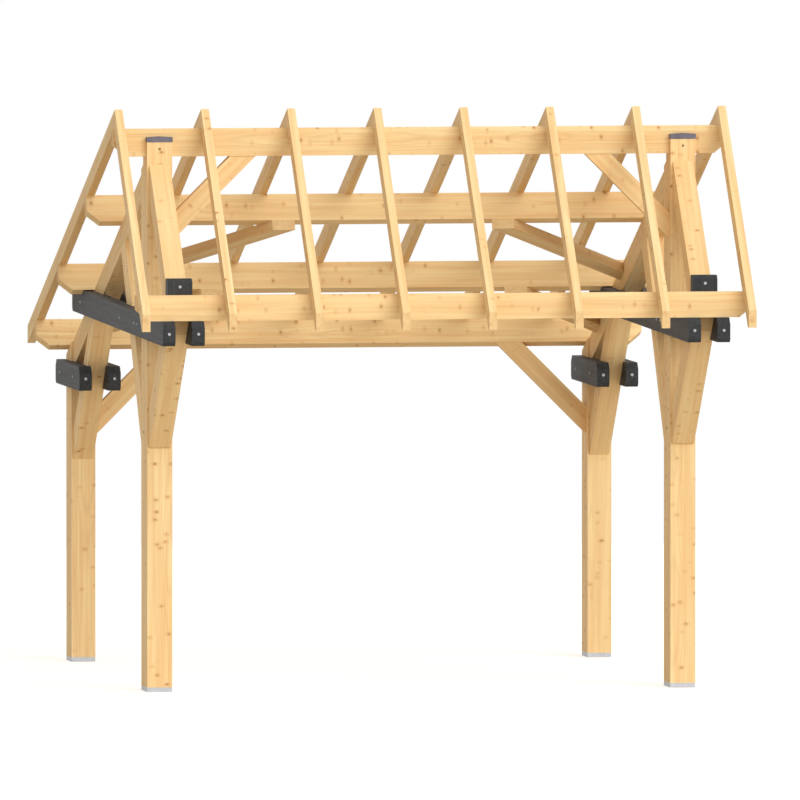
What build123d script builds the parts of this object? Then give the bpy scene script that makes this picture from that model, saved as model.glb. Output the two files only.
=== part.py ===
from build123d import *
import os
from math import cos, radians, sin, sqrt, tan

# An open timber carport with an uneven gable roof, steep and short at the front, long and
# shallow at the rear. Two trusses stand side by side. Each has a tall forked post under the
# ridge and a shorter post at the rear. Sizes are in millimetres.
# X runs along the ridge, -Y is the tall front, +Z is up.
# The origin is on the ground, under the middle of the roof.

os.makedirs("parts", exist_ok=True)

# Roof
ridge_height = 3342
roof_length = 3545
front_pitch = 45
rear_pitch = 21.5
front_run = 1123
rear_run = 3575
front_tail_height = 100
rafter_pairs = 8
rafter_width = 45
rafter_depth = 95

# Purlins, the long beams that carry the rafters. A setout is level, from the ridge line.
purlin_width = 80
purlin_overhang = 8
purlin_end_rise = 64
purlin_end_length = 76
ridge_purlin_depth = 160
slope_purlin_depth = 160
front_purlin_depth = 145
front_purlin_bevel = 41
front_purlin_setout = 933
upper_purlin_setout = 1112
lower_purlin_setout = 2247
rear_purlin_setout = 3175

# Posts, with their steel feet and zinc caps. A truss stands inset from each end of the roof.
truss_inset = 254.5
post_spread = 3098
tall_post_width = 145
tall_post_depth = 240
rear_post_width = 140
rear_post_depth = 215
ridge_setback = 42
front_cheek = 38
rear_cheek = 45
cheek_height = 108
foot_height = 26
cap_apron = 24
cap_sheet = 2
cap_fit = 0.3
cap_edge = 4
cap_peak = 9

# Sloping members of each truss. Depths are square to the member, and the toes of the struts are
# set out down from the ridge.
principal_width = 118
principal_depth = 145
front_principal_drop = 98
strut_width = 125
strut_depth = 170
strut_toe_drop = 1937
front_strut_toe = 14
front_strut_pitch = 43.2
inner_strut_toe = 65
inner_strut_pitch = 52.9
rear_strut_width = 115
rear_strut_depth = 130
rear_strut_toe_drop = 2161
rear_strut_pitch = 44.3

# Dark tie boards, in pairs that clamp the members of each truss
tie_gap = 96
tie_board = 73
tie_depth = 140
tie_top_bevel = 38
tie_bottom_bevel = 20
long_tie_front = 965
long_tie_rear = 2712
long_tie_fall = 32
short_tie_front = 687
short_tie_rear = 301
short_tie_drop = 1732

# Dark blocks behind the front purlin
block_width = 142
block_length = 90
block_rise = 92
block_bevel = 20

# Braces. A leg runs along the post, from the purlin down to the brace's lower edge.
brace_thickness = 70
brace_pitch = 45
ridge_brace_depth = 105
ridge_brace_leg = 490
rear_brace_depth = 110
rear_brace_leg = 520
slope_brace_depth = 95
slope_brace_thickness = 60
upper_brace_reach = 820
upper_brace_run = 870
lower_brace_reach = 570
lower_brace_run = 600

# Where the main planes fall, worked out from the sizes above
ridge_y = (front_run - rear_run) / 2
front_end_y = ridge_y - front_run
rear_end_y = ridge_y + rear_run
tall_front = ridge_y - ridge_setback
tall_back = tall_front + tall_post_depth
rear_front = tall_front + post_spread
rear_back = rear_front + rear_post_depth
strut_toe_height = ridge_height - strut_toe_drop
rear_strut_toe_height = ridge_height - rear_strut_toe_drop
short_tie_bottom = ridge_height - short_tie_drop
rafter_span = roof_length - rafter_width
rafter_step = rafter_span / (rafter_pairs - 1)
purlin_length = roof_length + 2 * purlin_overhang
purlin_half = purlin_length / 2
truss_spacing = roof_length - 2 * truss_inset
truss_sides = {"left": -truss_spacing / 2, "right": truss_spacing / 2}
tie_offset = (tie_gap + tie_board) / 2


class Slope:
    """A straight line in the side view, through one point, rising by its slope with Y."""

    def __init__(self, y, z, slope):
        self.y = y
        self.z = z
        self.slope = slope

    def height(self, y):
        return self.z + (y - self.y) * self.slope

    def at(self, y):
        return (y, self.height(y))

    def raised(self, rise):
        return Slope(self.y, self.z + rise, self.slope)

    def beneath(self, depth):
        """The parallel line this far below, measured square to the line."""
        return self.raised(-depth * sqrt(1 + self.slope**2))

    def meets(self, other):
        return self.at((other.height(0) - self.height(0)) / (self.slope - other.slope))

    def meets_level(self, z):
        return (self.y + (z - self.z) / self.slope, z)


def side_board(outline, x, width, mode=Mode.ADD):
    """A board with a side-view outline, centred on x, for the piece being built."""
    with BuildSketch(Plane.YZ.offset(x)) as profile:
        with BuildLine():
            Polyline(*outline, close=True)
        make_face()
    extrude(to_extrude=profile.sketch, amount=width / 2, both=True, mode=mode)


def front_board(outline, y_from, y_to, mode=Mode.ADD):
    """A board with a front-view outline, from one Y to another, for the piece being built."""
    with BuildSketch(Plane.XZ.offset(-y_from)) as profile:
        with BuildLine():
            Polyline(*outline, close=True)
        make_face()
    extrude(to_extrude=profile.sketch, amount=y_from - y_to, mode=mode)


def finish(piece, name):
    """Name a finished piece and write it out."""
    piece.part.label = name
    export_step(piece.part, f"parts/{name}.step")


# Roof planes in the side view. The purlins of the rear slope stand on the rear seat plane.
front_top = Slope(ridge_y, ridge_height, tan(radians(front_pitch)))
rear_top = Slope(ridge_y, ridge_height, -tan(radians(rear_pitch)))
front_under = front_top.beneath(rafter_depth)
rear_under = rear_top.beneath(rafter_depth)
rafter_valley = front_under.meets(rear_under)
rear_seat = rear_under.beneath(slope_purlin_depth)
rear_principal_under = rear_seat.beneath(principal_depth)
front_principal_top = front_under.beneath(front_principal_drop)
front_principal_under = front_principal_top.beneath(principal_depth)

# The ridge purlin stands in the slot of the forked posts, between the two cheeks.
ridge_purlin_front = tall_front + front_cheek
ridge_purlin_back = ridge_purlin_front + purlin_width
head_back = ridge_purlin_back + rear_cheek
ridge_purlin_bottom = rafter_valley[1] - ridge_purlin_depth
cheek_top = ridge_purlin_bottom + cheek_height

# The front purlin has a wide bevel for the steep rafters and rests on the long ties.
front_purlin_front = ridge_y - front_purlin_setout
front_purlin_back = front_purlin_front + purlin_width
front_purlin_top = front_under.height(front_purlin_front + front_purlin_bevel)
front_purlin_bottom = front_purlin_top - front_purlin_depth

# Struts: each has an under plane that starts at its toe, and a top plane above it.
front_strut_under = Slope(
    tall_front - front_strut_toe, strut_toe_height, -tan(radians(front_strut_pitch))
)
front_strut_top = front_strut_under.beneath(-strut_depth)
inner_strut_under = Slope(
    tall_back + inner_strut_toe, strut_toe_height, tan(radians(inner_strut_pitch))
)
inner_strut_top = inner_strut_under.beneath(-strut_depth)
rear_strut_under = Slope(rear_front, rear_strut_toe_height, -tan(radians(rear_strut_pitch)))
rear_strut_top = rear_strut_under.beneath(-rear_strut_depth)


def tie_outline(front, rear, low):
    """A tie board from the side, above the given bottom line, with bevelled ends."""
    high = low.raised(tie_depth)
    return [
        low.at(front + tie_bottom_bevel),
        low.at(rear - tie_bottom_bevel),
        (rear, low.height(rear) + tie_bottom_bevel),
        (rear, high.height(rear) - tie_top_bevel),
        high.at(rear - tie_top_bevel),
        high.at(front + tie_top_bevel),
        (front, high.height(front) - tie_top_bevel),
        (front, low.height(front) + tie_bottom_bevel),
    ]


long_tie_slope = long_tie_fall / (long_tie_front + long_tie_rear)
long_tie_outline = tie_outline(
    tall_front - long_tie_front,
    tall_front + long_tie_rear,
    Slope(front_purlin_front, front_purlin_bottom - tie_depth, long_tie_slope),
)
short_tie_outline = tie_outline(
    rear_front - short_tie_front, rear_front + short_tie_rear, Slope(rear_front, short_tie_bottom, 0)
)


def tie_boards(outline, x, mode=Mode.ADD):
    """The two boards of a tie, or their seats in another member, one each side of the truss."""
    for side in (-1, 1):
        side_board(outline, x + side * tie_offset, tie_board, mode)


# Steel feet: a plate under each post, flush with its sides.
with BuildPart() as post_feet:
    for x in truss_sides.values():
        for front, back, width in (
            (tall_front, tall_back, tall_post_width),
            (rear_front, rear_back, rear_post_width),
        ):
            side_board([(front, 0), (back, 0), (back, foot_height), (front, foot_height)], x, width)
finish(post_feet, "post_feet")

# Posts: the tall one has a forked head for the ridge purlin and a shoulder cut to the rear slope.
# The top of the rear one is cut to the same slope.
tall_post_outline = [
    (tall_front, foot_height),
    (tall_front, cheek_top),
    (ridge_purlin_front, cheek_top),
    (ridge_purlin_front, ridge_purlin_bottom),
    (ridge_purlin_back, ridge_purlin_bottom),
    (ridge_purlin_back, cheek_top),
    (head_back, cheek_top),
    rear_seat.at(head_back),
    rear_seat.at(tall_back),
    (tall_back, foot_height),
]
rear_post_outline = [
    (rear_front, foot_height),
    rear_seat.at(rear_front),
    rear_seat.at(rear_back),
    (rear_back, foot_height),
]
for name, x in truss_sides.items():
    with BuildPart() as tall_post:
        side_board(tall_post_outline, x, tall_post_width)
        tie_boards(long_tie_outline, x, Mode.SUBTRACT)
    finish(tall_post, f"{name}_tall_post")

    with BuildPart() as rear_post:
        side_board(rear_post_outline, x, rear_post_width)
        tie_boards(short_tie_outline, x, Mode.SUBTRACT)
    finish(rear_post, f"{name}_rear_post")

# Principals: the heavy sloping members that carry the purlins of each slope.
front_principal_outline = [
    front_principal_under.at(tall_front),
    front_principal_top.at(tall_front),
    front_principal_top.at(front_purlin_back),
    front_strut_under.at(front_purlin_back),
    front_strut_under.meets(front_principal_under),
]
rear_principal_outline = [
    rear_principal_under.at(tall_back),
    rear_seat.at(tall_back),
    rear_seat.at(rear_front),
    rear_principal_under.at(rear_front),
]
for name, x in truss_sides.items():
    with BuildPart() as front_principal:
        side_board(front_principal_outline, x, principal_width)
        tie_boards(long_tie_outline, x, Mode.SUBTRACT)
    finish(front_principal, f"{name}_front_principal")

    with BuildPart() as rear_principal:
        side_board(rear_principal_outline, x, principal_width)
        tie_boards(long_tie_outline, x, Mode.SUBTRACT)
        tie_boards(short_tie_outline, x, Mode.SUBTRACT)
    finish(rear_principal, f"{name}_rear_principal")

# Struts: the front one props the eave, the inner and rear ones prop the rear principal.
front_strut_outline = [
    (tall_front, strut_toe_height),
    (tall_front - front_strut_toe, strut_toe_height),
    front_strut_under.meets(front_principal_under),
    front_strut_top.meets(front_principal_under),
    front_strut_top.at(tall_front),
]
inner_strut_outline = [
    (tall_back, strut_toe_height),
    (tall_back + inner_strut_toe, strut_toe_height),
    inner_strut_under.meets(rear_principal_under),
    inner_strut_top.meets(rear_principal_under),
    inner_strut_top.at(tall_back),
]
rear_strut_outline = [
    rear_strut_under.at(rear_front),
    rear_strut_under.meets(rear_principal_under),
    rear_strut_top.meets(rear_principal_under),
    rear_strut_top.at(rear_front),
]
for name, x in truss_sides.items():
    with BuildPart() as front_strut:
        side_board(front_strut_outline, x, strut_width)
        tie_boards(long_tie_outline, x, Mode.SUBTRACT)
    finish(front_strut, f"{name}_front_strut")

    with BuildPart() as inner_strut:
        side_board(inner_strut_outline, x, strut_width)
        tie_boards(long_tie_outline, x, Mode.SUBTRACT)
    finish(inner_strut, f"{name}_inner_strut")

    with BuildPart() as rear_strut:
        side_board(rear_strut_outline, x, rear_strut_width)
        tie_boards(long_tie_outline, x, Mode.SUBTRACT)
        tie_boards(short_tie_outline, x, Mode.SUBTRACT)
    finish(rear_strut, f"{name}_rear_strut")

# Blocks: one on each front principal keeps the front purlin from rolling back.
block_back = front_purlin_back + block_length
block_top = front_purlin_top + block_rise
block_outline = [
    front_principal_top.at(front_purlin_back),
    (front_purlin_back, block_top - block_bevel),
    (front_purlin_back + block_bevel, block_top),
    (block_back, block_top),
    front_principal_top.at(block_back),
]
with BuildPart() as purlin_blocks:
    for x in truss_sides.values():
        side_board(block_outline, x, block_width)
finish(purlin_blocks, "purlin_blocks")

# Caps: folded zinc over each cheek of the forked heads. The slot side is left open.
pocket_half = tall_post_width / 2 + cap_fit
cap_half = pocket_half + cap_sheet
with BuildPart() as post_caps:
    for x in truss_sides.values():
        cap_outline = [
            (x - cap_half, cheek_top - cap_apron),
            (x + cap_half, cheek_top - cap_apron),
            (x + cap_half, cheek_top + cap_edge),
            (x, cheek_top + cap_peak),
            (x - cap_half, cheek_top + cap_edge),
        ]
        pocket_outline = [
            (x - pocket_half, cheek_top - cap_apron),
            (x + pocket_half, cheek_top - cap_apron),
            (x + pocket_half, cheek_top),
            (x - pocket_half, cheek_top),
        ]
        for outer, slot, away in (
            (tall_front, ridge_purlin_front, -1),
            (head_back, ridge_purlin_back, 1),
        ):
            front_board(cap_outline, slot, outer + away * (cap_fit + cap_sheet))
            front_board(pocket_outline, slot, outer + away * cap_fit, Mode.SUBTRACT)
finish(post_caps, "post_caps")

# Level purlins: each has a shaped top and a corner cut away under each end.
ridge_purlin_outline = [
    (ridge_purlin_front, ridge_purlin_bottom),
    front_under.at(ridge_purlin_front),
    rafter_valley,
    rear_under.at(ridge_purlin_back),
    (ridge_purlin_back, ridge_purlin_bottom),
]
front_purlin_outline = [
    (front_purlin_front, front_purlin_bottom),
    front_under.at(front_purlin_front),
    (front_purlin_front + front_purlin_bevel, front_purlin_top),
    (front_purlin_back, front_purlin_top),
    (front_purlin_back, front_purlin_bottom),
]


def cut_ends(bottom):
    """Cut the lower corner off both ends of the level purlin being built."""
    for end in (-1, 1):
        corner = [
            (end * purlin_half, bottom),
            (end * purlin_half, bottom + purlin_end_rise),
            (end * (purlin_half - purlin_end_length), bottom),
        ]
        front_board(corner, front_end_y, rear_end_y, Mode.SUBTRACT)


with BuildPart() as ridge_purlin:
    side_board(ridge_purlin_outline, 0, purlin_length)
    cut_ends(ridge_purlin_bottom)
finish(ridge_purlin, "ridge_purlin")

with BuildPart() as front_purlin:
    side_board(front_purlin_outline, 0, purlin_length)
    cut_ends(front_purlin_bottom)
    for x in truss_sides.values():
        tie_boards(long_tie_outline, x, Mode.SUBTRACT)
finish(front_purlin, "front_purlin")

# Slope purlins: three stand square to the rear slope, between rafters and principals.
slope_down = (0, cos(radians(rear_pitch)), -sin(radians(rear_pitch)))
slope_out = (0, sin(radians(rear_pitch)), cos(radians(rear_pitch)))
slope_purlin_elevation = [
    (-purlin_half, 0),
    (-purlin_half, slope_purlin_depth - purlin_end_rise),
    (purlin_end_length - purlin_half, slope_purlin_depth),
    (purlin_half - purlin_end_length, slope_purlin_depth),
    (purlin_half, slope_purlin_depth - purlin_end_rise),
    (purlin_half, 0),
]
slope_purlins = {}
for name, setout in (
    ("upper_purlin", upper_purlin_setout),
    ("lower_purlin", lower_purlin_setout),
    ("rear_purlin", rear_purlin_setout),
):
    top_corner = (0, *rear_under.at(ridge_y + setout))
    with BuildPart() as slope_purlin:
        # This plane faces down the slope, so its second axis points into the roof.
        with BuildSketch(Plane(origin=top_corner, x_dir=(1, 0, 0), z_dir=slope_down)):
            with BuildLine():
                Polyline(*slope_purlin_elevation, close=True)
            make_face()
        extrude(amount=purlin_width)
    slope_purlins[name] = slope_purlin.part
    finish(slope_purlin, name)

# Ties: dark board pairs. The long pair joins both slopes, the short pair holds the rear strut.
for name, x in truss_sides.items():
    with BuildPart() as long_tie:
        tie_boards(long_tie_outline, x)
        add(slope_purlins["lower_purlin"], mode=Mode.SUBTRACT)
    finish(long_tie, f"{name}_long_tie")

    with BuildPart() as short_tie:
        tie_boards(short_tie_outline, x)
    finish(short_tie, f"{name}_short_tie")


# Upright braces: they stiffen the carport lengthwise, from a post's inner side to its purlin.
def upright_braces(y_middle, post_face, seat, leg, depth):
    """A mirrored pair of braces for the piece being built, trimmed by the purlin's underside."""
    y_front = y_middle - brace_thickness / 2
    y_back = y_middle + brace_thickness / 2
    foot = seat.height(y_middle) - leg
    height = depth / cos(radians(brace_pitch))
    past_seat = leg + height
    top = foot + past_seat + height
    for side in (-1, 1):
        outline = [
            (side * post_face, foot),
            (side * (post_face - past_seat), foot + past_seat),
            (side * (post_face - past_seat), top),
            (side * post_face, foot + height),
        ]
        front_board(outline, y_front, y_back)
    above_seat = [seat.at(y_front), seat.at(y_back), (y_back, top), (y_front, top)]
    side_board(above_seat, 0, purlin_length, Mode.SUBTRACT)


with BuildPart() as ridge_braces:
    upright_braces(
        ridge_purlin_front + purlin_width / 2,
        (truss_spacing - tall_post_width) / 2,
        Slope(ridge_y, ridge_purlin_bottom, 0),
        ridge_brace_leg,
        ridge_brace_depth,
    )
finish(ridge_braces, "ridge_braces")

rear_purlin_edge = ridge_y + rear_purlin_setout - slope_purlin_depth * slope_out[1]
with BuildPart() as rear_braces:
    upright_braces(
        rear_purlin_edge + purlin_width / 2 * slope_down[1],
        (truss_spacing - rear_post_width) / 2,
        rear_seat,
        rear_brace_leg,
        rear_brace_depth,
    )
finish(rear_braces, "rear_braces")

# Slope braces: they lie in the rear slope, under a purlin, and run down to the principals.
principal_face = (truss_spacing - principal_width) / 2
for name, setout, reach, run in (
    ("upper_purlin_braces", upper_purlin_setout, upper_brace_reach, upper_brace_run),
    ("lower_purlin_braces", lower_purlin_setout, lower_brace_reach, lower_brace_run),
):
    purlin_edge = (0, *rear_seat.at(ridge_y + setout - slope_purlin_depth * slope_out[1]))
    along_principal = slope_brace_depth / 2 * sqrt(1 + (run / reach) ** 2)
    along_purlin = along_principal * reach / run
    with BuildPart() as slope_braces:
        with BuildSketch(Plane(origin=purlin_edge, x_dir=(1, 0, 0), z_dir=slope_out)):
            for side in (-1, 1):
                with BuildLine():
                    Polyline(
                        (side * principal_face, run - along_principal),
                        (side * principal_face, run + along_principal),
                        (side * (principal_face - reach - along_purlin), 0),
                        (side * (principal_face - reach + along_purlin), 0),
                        close=True,
                    )
                make_face()
        extrude(amount=-slope_brace_thickness)
    finish(slope_braces, name)

# Rafters: sawn boards that meet in pairs over the ridge purlin.
front_tail_bottom = front_top.height(front_end_y) - front_tail_height
front_rafter_outline = [
    rafter_valley,
    (ridge_y, ridge_height),
    front_top.at(front_end_y),
    (front_end_y, front_tail_bottom),
    front_under.meets_level(front_tail_bottom),
]
rear_rafter_outline = [
    rafter_valley,
    (ridge_y, ridge_height),
    rear_top.at(rear_end_y),
    rear_under.at(rear_end_y),
]
for pair in range(rafter_pairs):
    x = pair * rafter_step - rafter_span / 2
    with BuildPart() as front_rafter:
        side_board(front_rafter_outline, x, rafter_width)
    finish(front_rafter, f"front_rafter_{pair + 1}")

    with BuildPart() as rear_rafter:
        side_board(rear_rafter_outline, x, rafter_width)
    finish(rear_rafter, f"rear_rafter_{pair + 1}")
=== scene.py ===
from math import cos, pi, radians, sin

import bpy
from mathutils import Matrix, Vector


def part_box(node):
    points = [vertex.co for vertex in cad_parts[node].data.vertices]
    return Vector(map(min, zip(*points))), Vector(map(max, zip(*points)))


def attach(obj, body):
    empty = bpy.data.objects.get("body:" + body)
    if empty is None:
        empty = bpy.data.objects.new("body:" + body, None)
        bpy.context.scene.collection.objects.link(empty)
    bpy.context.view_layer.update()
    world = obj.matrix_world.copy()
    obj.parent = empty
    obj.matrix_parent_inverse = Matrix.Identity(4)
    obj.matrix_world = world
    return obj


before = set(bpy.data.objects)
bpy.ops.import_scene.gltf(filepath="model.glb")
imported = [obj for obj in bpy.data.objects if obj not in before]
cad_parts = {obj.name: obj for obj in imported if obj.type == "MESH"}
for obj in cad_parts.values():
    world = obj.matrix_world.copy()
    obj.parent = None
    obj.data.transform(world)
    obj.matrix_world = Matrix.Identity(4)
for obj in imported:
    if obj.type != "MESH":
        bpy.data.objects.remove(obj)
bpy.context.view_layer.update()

# Steel feet. Each post stands on a galvanised plate cut to the post's own size.
# The plate is hot-dipped, so it has faint zinc crystals and a dull grey shine.


class Flow:
    """A socket's value in a node tree. Its operators add the Math nodes."""

    def __init__(self, tree, socket):
        self.tree = tree
        self.socket = socket

    def math(self, operation, *others, clamp=False):
        node = self.tree.nodes.new("ShaderNodeMath")
        node.operation = operation
        node.use_clamp = clamp
        for place, value in enumerate((self, *others)):
            join(self.tree, value, node.inputs[place])
        return Flow(self.tree, node.outputs[0])

    def __add__(self, other):
        return self.math("ADD", other)

    def __radd__(self, other):
        return self.math("ADD", other)

    def __sub__(self, other):
        return self.math("SUBTRACT", other)

    def __rsub__(self, other):
        return (self * -1.0).math("ADD", other)

    def __mul__(self, other):
        return self.math("MULTIPLY", other)

    def __rmul__(self, other):
        return self.math("MULTIPLY", other)

    def __truediv__(self, other):
        return self.math("DIVIDE", other)

    def __pow__(self, other):
        return self.math("POWER", other)

    def size(self):
        return self.math("ABSOLUTE")

    def beside(self, output):
        """The value of another output of the same node."""
        return Flow(self.tree, self.socket.node.outputs[output])

    def held(self):
        """The value kept between 0 and 1."""
        return self.math("ADD", 0.0, clamp=True)


def join(tree, value, socket):
    """Link a flow, or each flow of a list, to a socket, or set the socket to a plain value."""
    if isinstance(value, list):
        for flow in value:
            tree.links.new(flow.socket, socket)
    elif isinstance(value, Flow):
        tree.links.new(value.socket, socket)
    else:
        socket.default_value = value


class Nodes:
    """A node tree, with one method that adds any node to it."""

    def __init__(self, tree):
        self.tree = tree

    def node(self, kind, inputs=(), out=0, **settings):
        """Any node: its settings first, then the values or links of its sockets."""
        node = self.tree.nodes.new(kind)
        for setting, value in settings.items():
            setattr(node, setting, value)
        for socket, value in dict(inputs).items():
            join(self.tree, value, node.inputs[socket])
        return Flow(self.tree, node.outputs[out]) if node.outputs else None


class Finish(Nodes):
    """A material on one principled shader. Even values are set on the shader's own sockets."""

    def __init__(self, name, **even):
        self.material = bpy.data.materials.new(name)
        self.material.use_nodes = True
        super().__init__(self.material.node_tree)
        self.shader = self.tree.nodes["Principled BSDF"]
        for socket, value in even.items():
            self.shader.inputs[socket.replace("_", " ").title()].default_value = value

    def dulled(self):
        """Bare wood shines less than varnish."""
        self.shader.inputs["Specular IOR Level"].default_value = 0.22
        return self

    def place(self):
        return self.node("ShaderNodeTexCoord", out="Object")

    def dot(self, vector, direction):
        return self.node(
            "ShaderNodeVectorMath", {0: vector, 1: tuple(direction)}, "Value", operation="DOT_PRODUCT"
        )

    def point(self, x, y, z):
        return self.node("ShaderNodeCombineXYZ", {"X": x, "Y": y, "Z": z})

    def split(self, vector):
        x = self.node("ShaderNodeSeparateXYZ", {0: vector}, "X")
        return x, x.beside("Y"), x.beside("Z")

    def noise(self, vector, scale, detail=3.0, roughness=0.55):
        return self.node(
            "ShaderNodeTexNoise",
            {"Vector": vector, "Scale": scale, "Detail": detail, "Roughness": roughness},
        )

    def mix(self, amount, first, second):
        return self.node(
            "ShaderNodeMix", {0: amount, 6: first, 7: second}, 2, data_type="RGBA", clamp_factor=True
        )

    def show(self, **varying):
        """Feed the sockets that change over the surface."""
        for socket, value in varying.items():
            join(self.tree, value, self.shader.inputs[socket.replace("_", " ").title()])
        return self.material

    def bump(self, height, strength, distance):
        return self.node(
            "ShaderNodeBump", {"Height": height, "Strength": strength, "Distance": distance}, "Normal"
        )


def dress(material, *names):
    """Put a material on CAD nodes, on the slots that they already have."""
    for name in names:
        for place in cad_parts[name].material_slots:
            place.material = material


def galvanised(name, light, dark, crystal):
    """Dipped steel, with crystals of the given size and a cloudy grey over them."""
    steel = Finish(name, metallic=0.45)
    place = steel.place()
    cell = steel.node(
        "ShaderNodeTexVoronoi", {"Vector": place, "Scale": 1 / crystal}, "Color", feature="F1"
    )
    grey = steel.node("ShaderNodeRGBToBW", {0: cell})
    cloud = steel.noise(place, 9.0)
    shade = (grey * 0.35 + cloud * 0.9 - 0.15).held()
    return steel.show(
        base_color=steel.mix(shade, dark, light),
        roughness=0.34 + grey * 0.16 + cloud * 0.1,
        normal=steel.bump(grey, 0.08, 0.0004),
    )


foot_steel = galvanised("foot_steel", (0.60, 0.62, 0.65, 1), (0.34, 0.35, 0.38, 1), 0.012)
dress(foot_steel, "post_feet")

# Tall posts. Planed spruce, sawn from one trunk, with the heart just outside the section.
# The head is cut as a fork for the ridge purlin and the back is cut to the slope under it.

heart_offset = 0.085
ring_spacing = 0.0055
knot_width = 0.078
knot_rise = 0.052


def spruce(name, along, across, heart, seed, tone=1.0, mirrored=False):
    """Planed spruce as one solid block: rings round a heart, long streaks, knots and end grain.

    along is the grain's direction, across a direction square to it, and heart a point that the
    trunk's middle runs beside. A mirrored pair shares one pattern about the middle of the ridge.
    """
    wood = Finish(name).dulled()
    place = wood.place()
    facing = wood.node("ShaderNodeTexCoord", out="Normal")
    if mirrored:
        x, y, z = wood.split(place)
        place = wood.point(x.size(), y, z)
    along = Vector(along).normalized()
    across = Vector(across).normalized()
    third = along.cross(across)
    middle = Vector(heart)
    u = wood.dot(place, across) - (middle.dot(across) + heart_offset * cos(seed))
    v = wood.dot(place, third) - (middle.dot(third) + heart_offset * sin(seed))
    w = wood.dot(place, along) + seed * 3.7
    # The trunk wanders a little along its length.
    wander = wood.noise(wood.point(u * 3.0, v * 3.0, w * 0.9), 1.0, 2.0)
    radius = (u * u + v * v).math("SQRT") + wander * 0.05
    ring = (radius * (2 * pi / ring_spacing)).math("SINE") * 0.5 + 0.5
    late = ring**3.0
    streak = wood.noise(wood.point(u * 42.0, v * 42.0, w * 1.3), 1.0, 4.0)
    cloud = wood.noise(wood.point(u * 7.0, v * 7.0, w * 0.8), 1.0, 2.0)
    fibre = wood.noise(wood.point(u * 420.0, v * 420.0, w * 9.0), 1.0, 2.0)
    # Knots are thin branches cut along, wider than high, with a warm halo. Most cells have none.
    knot_place = wood.point(u / knot_width, v / knot_width, w / knot_rise)
    knot = wood.node(
        "ShaderNodeTexVoronoi", {"Vector": knot_place, "Scale": 1.0, "Randomness": 1.0}, "Distance"
    )
    pick = wood.node("ShaderNodeRGBToBW", {0: knot.beside("Color")})
    grown = ((pick - 0.52) * 12.0).held()
    core = ((0.140 - knot) * 15.0).held() * grown
    halo = ((0.34 - knot) * 5.0).held() * grown
    end = ((facing_along(wood, facing, along, mirrored) - 0.62) * 4.0).held()
    pale = (0.93 * tone, 0.700 * tone, 0.360 * tone, 1)
    honey = (0.80 * tone, 0.490 * tone, 0.205 * tone, 1)
    brown = (0.50 * tone, 0.265 * tone, 0.105 * tone, 1)
    amber = (0.62, 0.30, 0.10, 1)
    knot_brown = (0.38, 0.170, 0.068, 1)
    colour = wood.mix((streak * 2.2 - 0.78).held(), pale, honey)
    colour = wood.mix(((cloud - 0.42) * 2.2).held() * 0.70, colour, honey)
    colour = wood.mix(late * 0.16, colour, brown)
    colour = wood.mix((fibre - 0.5).held() * 0.35, colour, brown)
    colour = wood.mix(halo * 0.44, colour, amber)
    colour = wood.mix(core * 0.74, colour, knot_brown)
    colour = wood.mix(end * (0.22 + late * 0.3), colour, brown)
    relief = late * 0.35 + fibre * 0.45 + streak * 0.3 - core * 0.25
    return wood.show(
        base_color=colour,
        roughness=(0.60 + fibre * 0.14 - late * 0.07 - core * 0.14 + end * 0.12).held(),
        normal=wood.bump(relief, 0.22, 0.0007),
    )


def facing_along(wood, facing, along, mirrored):
    """How nearly a surface faces along the grain, from 0 on a side to 1 on a square end."""
    if not mirrored:
        return wood.dot(facing, along).size()
    x, y, z = wood.split(facing)
    return x.size() * abs(along.x) + (y * along.y + z * along.z).size()


def middle_of(name):
    """The middle of a CAD node's box."""
    low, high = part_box(name)
    return (Vector(low) + Vector(high)) / 2


def in_spruce(name, along, across, seed, tone):
    """Dress one CAD node in spruce, with the trunk's heart beside its own middle."""
    dress(spruce(f"{name}_spruce", along, across, middle_of(name), seed, tone), name)


upright = (0, 0, 1)
ridgeward = (1, 0, 0)
for seed, name in ((0.6, "left_tall_post"), (2.3, "right_tall_post")):
    in_spruce(name, upright, ridgeward, seed, 1.02)

# Rear posts. Planed spruce of nearly the same section, shorter, with a sloping top.
# They stand on the same feet and are notched for the short tie.
for seed, name in ((1.4, "left_rear_post"), (4.1, "right_rear_post")):
    in_spruce(name, upright, ridgeward, seed, 1.03)

# Principals. Heavy sloping timbers that carry the purlins, one on each side of the ridge.
# The front one is steep and short, the rear one long and shallow.
front_fall = radians(45)
rear_fall = radians(21.5)
front_grain = (0, cos(front_fall), sin(front_fall))
rear_grain = (0, cos(rear_fall), -sin(rear_fall))
for seed, side in ((0.3, "left"), (3.5, "right")):
    in_spruce(f"{side}_front_principal", front_grain, ridgeward, seed, 1.0)
    in_spruce(f"{side}_rear_principal", rear_grain, ridgeward, seed + 1.1, 0.96)

# Struts. Planed timbers that spring from the posts and prop the principals.
# Their feet are cut level and their heads follow the principal's underside.
struts = (("front", -43.2, 0.9), ("inner", 52.9, 2.9), ("rear", -44.3, 5.2))
for place, lean, seed in struts:
    grain = (0, cos(radians(lean)), sin(radians(lean)))
    for side, change in (("left", 0.0), ("right", 1.7)):
        in_spruce(f"{side}_{place}_strut", grain, ridgeward, seed + change, 1.05)

# Ties and blocks. Boards stained charcoal, with the grain showing through the stain.
# The wood is a little lighter where the stain is thin.
rearward = (0, 1, 0)


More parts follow.
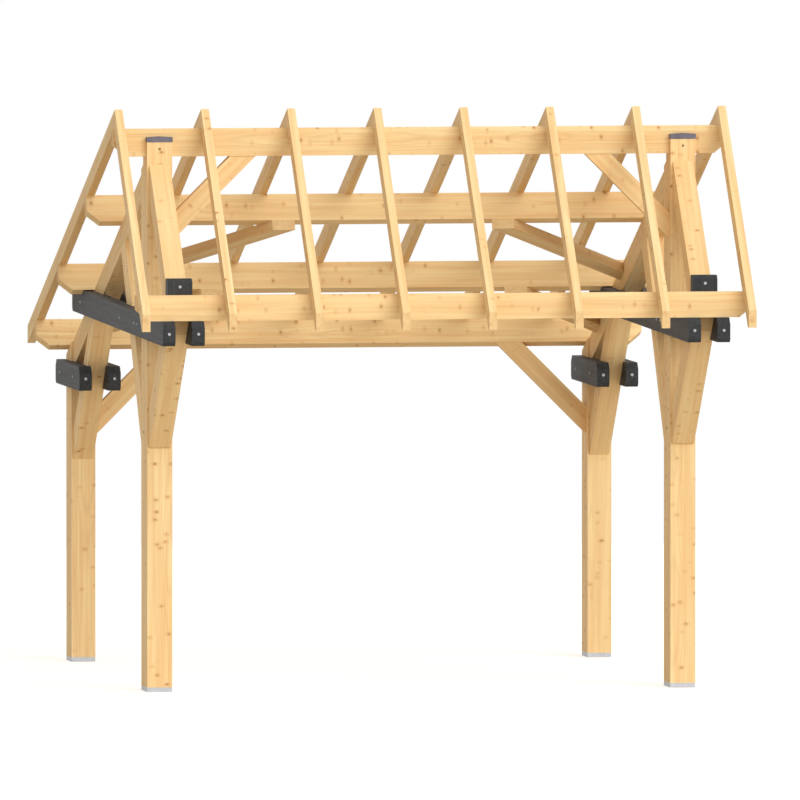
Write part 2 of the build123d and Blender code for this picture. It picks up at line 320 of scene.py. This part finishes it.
def stained(name, along, heart, seed):
    """Spruce under a charcoal stain that sinks deeper into the soft early wood."""
    wood = Finish(name).dulled()
    place = wood.place()
    along = Vector(along).normalized()
    across = Vector(ridgeward)
    third = along.cross(across)
    middle = Vector(heart)
    u = wood.dot(place, across) - middle.x
    v = wood.dot(place, third) - middle.dot(third)
    w = wood.dot(place, along) + seed * 2.9
    streak = wood.noise(wood.point(u * 60.0, v * 60.0, w * 1.6), 1.0, 4.0)
    fibre = wood.noise(wood.point(u * 380.0, v * 380.0, w * 10.0), 1.0, 2.0)
    thin = wood.noise(place, 6.0, 3.0)
    worn = ((thin - 0.52) * 4.0).held() * 0.35
    deep = (0.020, 0.022, 0.024, 1)
    slate = (0.047, 0.049, 0.051, 1)
    bare = (0.150, 0.125, 0.100, 1)
    colour = wood.mix((streak * 1.8 - 0.5).held(), deep, slate)
    colour = wood.mix(worn * ((fibre - 0.35) * 2.0).held(), colour, bare)
    return wood.show(
        base_color=colour,
        roughness=(0.55 + fibre * 0.2 - streak * 0.08).held(),
        normal=wood.bump(streak * 0.6 + fibre * 0.5, 0.25, 0.0008),
    )


for seed, side in ((0.4, "left"), (1.9, "right")):
    for name, change in ((f"{side}_long_tie", 0.0), (f"{side}_short_tie", 0.8)):
        dress(stained(f"{name}_stain", rearward, middle_of(name), seed + change), name)
dress(stained("block_stain", upright, middle_of("purlin_blocks"), 3.1), "purlin_blocks")

# Caps. Zinc sheet folded over each cheek of the forked heads, to keep rain off the end grain.
# It has weathered to a dull violet grey, in soft patches.
zinc = Finish("cap_zinc", metallic=0.35)
zinc_place = zinc.place()
patina = zinc.noise(zinc_place, 22.0, 4.0)
bloom = zinc.noise(zinc_place, 5.0, 2.0)
zinc.show(
    base_color=zinc.mix(
        (patina * 1.2 + bloom * 0.5 - 0.45).held(), (0.090, 0.082, 0.105, 1), (0.215, 0.195, 0.235, 1)
    ),
    roughness=0.42 + patina * 0.2,
    normal=zinc.bump(patina, 0.12, 0.0006),
)
dress(zinc.material, "post_caps")

# Purlins. Long planed beams along the roof, with the lower corner cut off each end.
# The ridge and front ones stand upright, the other three square to the rear slope.
purlins = (
    ("ridge_purlin", 0.2, 0.98),
    ("front_purlin", 1.5, 1.01),
    ("upper_purlin", 2.6, 1.0),
    ("lower_purlin", 4.4, 0.95),
    ("rear_purlin", 5.6, 1.03),
)
for name, seed, tone in purlins:
    in_spruce(name, ridgeward, rearward, seed, tone)

# Braces. Short diagonal timbers in mirrored pairs that keep the frame from racking.
# Two pairs stand upright against the posts, two lie in the rear slope under a purlin.


def brace_heart(name):
    """A point near the middle of the right-hand brace of a mirrored pair."""
    low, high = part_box(name)
    middle = middle_of(name)
    return Vector((high[0] * 0.85, middle.y, middle.z))


def braces_in_spruce(name, along, across, seed, tone):
    """Dress a mirrored pair of braces, with the grain given for the right-hand one."""
    wood = spruce(f"{name}_spruce", along, across, brace_heart(name), seed, tone, mirrored=True)
    dress(wood, name)


# An upright brace runs up and inwards from its post.
for name, seed in (("ridge_braces", 0.7), ("rear_braces", 2.2)):
    braces_in_spruce(name, (-1, 0, 1), rearward, seed, 1.04)

# A slope brace runs up the slope and inwards from its principal: its reach and its run.
slope_braces = (
    ("upper_purlin_braces", 3.3, 0.820, 0.870),
    ("lower_purlin_braces", 5.0, 0.570, 0.600),
)
slope_out = (0, sin(rear_fall), cos(rear_fall))
for name, seed, reach, run in slope_braces:
    grain = (-reach, -run * cos(rear_fall), run * sin(rear_fall))
    braces_in_spruce(name, grain, slope_out, seed, 0.93)

# Rafters. Sawn boards on edge, in pairs that meet over the ridge.
# They are cut plumb at the tails, and the front ones are also cut level underneath.
rafter_pairs = sum(name.startswith("front_rafter_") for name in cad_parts)
for pair in range(1, rafter_pairs + 1):
    seed = pair * 1.31
    in_spruce(f"front_rafter_{pair}", front_grain, ridgeward, seed, 0.99)
    in_spruce(f"rear_rafter_{pair}", rear_grain, ridgeward, seed + 0.5, 0.94)

# Bolts. Zinc-plated hexagon heads on round washers clamp the tie boards to the timbers.
# Most sit on the boards' faces, and one sits in the middle of each board's front end.
post_face_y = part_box("left_tall_post")[0][1]
truss_x = middle_of("right_tall_post").x
trusses = (-truss_x, truss_x)
board_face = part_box("left_long_tie")[1][0] - middle_of("left_long_tie").x
board_thickness = 0.073
board_middle = board_face - board_thickness / 2


def stud_tree(name):
    """A tree that puts one washer and one hexagon head on every point of a mesh."""
    tree = bpy.data.node_groups.new(name, "GeometryNodeTree")
    face = tree.interface
    face.new_socket("Points", in_out="INPUT", socket_type="NodeSocketGeometry")
    sizes = (
        ("Washer Radius", 0.0085),
        ("Washer Thickness", 0.002),
        ("Head Radius", 0.0055),
        ("Head Height", 0.004),
    )
    for label, value in sizes:
        socket = face.new_socket(label, in_out="INPUT", socket_type="NodeSocketFloat")
        socket.default_value = value
    face.new_socket("Turn", in_out="INPUT", socket_type="NodeSocketRotation")
    face.new_socket("Finish", in_out="INPUT", socket_type="NodeSocketMaterial")
    face.new_socket("Mesh", in_out="OUTPUT", socket_type="NodeSocketGeometry")
    bench = Nodes(tree)
    points = bench.node("NodeGroupInput", out="Points")

    def disc(radius, height, sides, base):
        """A cylinder that stands on the given height above the point."""
        shape = {"Vertices": sides, "Radius": radius, "Depth": height}
        lift = bench.node("ShaderNodeCombineXYZ", {"Z": height * 0.5 + base})
        mesh = bench.node("GeometryNodeMeshCylinder", shape, "Mesh")
        return bench.node("GeometryNodeTransform", {"Geometry": mesh, "Translation": lift}, "Geometry")

    thickness = points.beside("Washer Thickness")
    washer = disc(points.beside("Washer Radius"), thickness, 20, 0.0)
    head = disc(points.beside("Head Radius"), points.beside("Head Height"), 6, thickness)
    stack = bench.node("GeometryNodeJoinGeometry", {0: [washer, head]})
    turned = {"Points": points, "Instance": stack, "Rotation": points.beside("Turn")}
    spread = bench.node("GeometryNodeInstanceOnPoints", turned)
    real = bench.node("GeometryNodeRealizeInstances", {0: spread})
    coat = {"Geometry": real, "Material": points.beside("Finish")}
    bench.node("NodeGroupOutput", {"Mesh": bench.node("GeometryNodeSetMaterial", coat)})
    return tree


bolt_zinc = galvanised("bolt_zinc", (0.50, 0.51, 0.53, 1), (0.32, 0.33, 0.35, 1), 0.004)
studs = stud_tree("washer_and_head")


def set_studs(name, points, turn, finish, sizes=()):
    """Studs at the points, standing up from them in one direction, as one plain mesh."""
    seeds = bpy.data.meshes.new(f"{name}_points")
    seeds.from_pydata([tuple(point) for point in points], [], [])
    holder = bpy.data.objects.new(f"{name}_holder", seeds)
    bpy.context.scene.collection.objects.link(holder)
    modifier = holder.modifiers.new("studs", "NODES")
    modifier.node_group = studs
    named = {
        item.name: item.identifier
        for item in studs.interface.items_tree
        if item.item_type == "SOCKET" and item.in_out == "INPUT"
    }
    for label, value in dict(sizes).items():
        modifier[named[label]] = value
    modifier[named["Turn"]] = turn
    modifier[named["Finish"]] = finish
    view = bpy.context.evaluated_depsgraph_get()
    mesh = bpy.data.meshes.new_from_object(holder.evaluated_get(view), depsgraph=view)
    bpy.data.objects.remove(holder, do_unlink=True)
    piece = bpy.data.objects.new(name, mesh)
    bpy.context.scene.collection.objects.link(piece)
    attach(piece, "root")


tie_height_at_post = 2.1072
tie_rise = 0.0087
short_tie_height = 1.680
block_bolt_height = 2.362


def long_tie_point(x, behind):
    """A point halfway up a long tie, at a distance behind the front of the tall posts."""
    return (x, post_face_y + behind, tie_height_at_post + behind * tie_rise)


def short_tie_point(x, behind):
    """A point halfway up a short tie, at a distance behind the front of the tall posts."""
    return (x, post_face_y + behind, short_tie_height)


def tie_bolts(side):
    """The bolts on the boards' faces that look to one side: two in the tall post, then the rest."""
    faces = [truss + side * board_face for truss in trusses]
    on_long = [long_tie_point(x, behind) for x in faces for behind in (0.075, 0.190, 0.760, 2.363)]
    on_short = [short_tie_point(x, behind) for x in faces for behind in (2.680, 3.205)]
    return on_long + on_short


set_studs("bolts_facing_left", tie_bolts(-1), (0, -pi / 2, 0), bolt_zinc)
set_studs("bolts_facing_right", tie_bolts(1), (0, pi / 2, 0), bolt_zinc)

long_tie_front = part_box("left_long_tie")[0][1] - post_face_y
short_tie_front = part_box("left_short_tie")[0][1] - post_face_y
block_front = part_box("purlin_blocks")[0][1]
board_lines = [truss + board * board_middle for truss in trusses for board in (-1, 1)]
front_ends = [long_tie_point(x, long_tie_front) for x in board_lines]
front_ends += [short_tie_point(x, short_tie_front) for x in board_lines]
front_ends += [(truss, block_front, block_bolt_height) for truss in trusses]
set_studs("bolts_facing_front", front_ends, (pi / 2, 0, 0), bolt_zinc)

# Pegs. Turned hardwood pins lock the fork and the strut tenons, and are cut off just proud.
# They are darker than the spruce, with their own end grain showing.
peg_wood = spruce("peg_hardwood", ridgeward, rearward, (0, 0, 0), 2.0, 0.36)
peg_sizes = {
    "Washer Radius": 0.0075,
    "Washer Thickness": 0.002,
    "Head Radius": 0.006,
    "Head Height": 0.001,
}
head_peg_height = 3.116
head_pegs = [(truss, post_face_y, head_peg_height) for truss in trusses]
set_studs("pegs_in_heads", head_pegs, (pi / 2, 0, 0), peg_wood, peg_sizes)

post_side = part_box("left_tall_post")[1][0] - middle_of("left_tall_post").x
side_peg_behind = 0.129
side_peg_height = 1.4865
side_pegs = [
    (truss - post_side, post_face_y + side_peg_behind, side_peg_height) for truss in trusses
]
set_studs("pegs_in_posts", side_pegs, (0, -pi / 2, 0), peg_wood, peg_sizes)

# Studio. A pale floor that throws warm light up, a white surround, a large soft key from the
# front and right, and a camera at the photograph's own angle, far off with a long lens.
half_floor = 14.0
floor_drop = 0.002
floor_corners = ((-1, -1), (1, -1), (1, 1), (-1, 1))
floor_mesh = bpy.data.meshes.new("floor")
floor_mesh.from_pydata(
    [(x * half_floor, y * half_floor, -floor_drop) for x, y in floor_corners], [], [(0, 1, 2, 3)]
)
floor = bpy.data.objects.new("floor", floor_mesh)
bpy.context.scene.collection.objects.link(floor)


def emptied(owner):
    """The node tree of a material or a world, with nothing in it."""
    owner.use_nodes = True
    owner.node_tree.nodes.clear()
    return Nodes(owner.node_tree)


# The floor glows for the camera and for reflections alone: it ends white and adds no light.
floor_paint = bpy.data.materials.new("pale_floor")
ground = emptied(floor_paint)
lit = ground.node("ShaderNodeBsdfDiffuse", {"Color": (0.63, 0.56, 0.47, 1)})
glow = ground.node("ShaderNodeEmission", {"Strength": 0.64})
bright = ground.node("ShaderNodeAddShader", {0: lit, 1: glow})
camera_ray = ground.node("ShaderNodeLightPath", out="Is Camera Ray")
seen = camera_ray.math("MAXIMUM", camera_ray.beside("Is Glossy Ray"))
shown = ground.node("ShaderNodeMixShader", {0: seen, 1: lit, 2: bright})
ground.node("ShaderNodeOutputMaterial", {"Surface": shown})
floor_mesh.materials.append(floor_paint)

world = bpy.data.worlds.new("white_surround")
bpy.context.scene.world = world
sky = emptied(world)
white = (1, 1, 1, 1)
dome = sky.node("ShaderNodeBackground", {"Color": white, "Strength": 0.62})
backdrop = sky.node("ShaderNodeBackground", {"Color": white, "Strength": 1.0})
camera_ray = sky.node("ShaderNodeLightPath", out="Is Camera Ray")
seen = camera_ray.math("MAXIMUM", camera_ray.beside("Is Glossy Ray"))
seen = seen.math("MAXIMUM", camera_ray.beside("Is Transmission Ray"))
shown = sky.node("ShaderNodeMixShader", {0: seen, 1: dome, 2: backdrop})
sky.node("ShaderNodeOutputWorld", {"Surface": shown})


def direction(azimuth, elevation):
    """Where something stands, in degrees to the right of the front and above the ground."""
    level = cos(radians(elevation))
    return Vector(
        (sin(radians(azimuth)) * level, -cos(radians(azimuth)) * level, sin(radians(elevation)))
    )


def aimed(name, data, stand, distance=0.0, at=(0, 0, 0)):
    """Put a light or a camera in the scene, on the given side of a point and looking at it."""
    thing = bpy.data.objects.new(name, data)
    thing.location = Vector(at) + stand * distance
    thing.rotation_euler = stand.to_track_quat("Z", "Y").to_euler()
    bpy.context.scene.collection.objects.link(thing)
    return thing


key = bpy.data.lights.new("soft_key", "SUN")
key.energy = 2.12
key.angle = radians(55)
aimed("soft_key", key, direction(24, 31))

# The view is as wide as frame_width at the middle of the carport's depth.
frame_width = 4.616
mid_depth = 1.25
optics = bpy.data.cameras.new("long_lens")
optics.lens = 1690.0
optics.sensor_width = 36.0
distance = frame_width * optics.lens / optics.sensor_width - mid_depth
optics.clip_start = 1.0
optics.clip_end = distance * 3
target = (-0.1255, post_face_y, 1.6656)
bpy.context.scene.camera = aimed("long_lens", optics, direction(-8.6, 2.86), distance, target)
bpy.context.scene.view_settings.view_transform = "Standard"
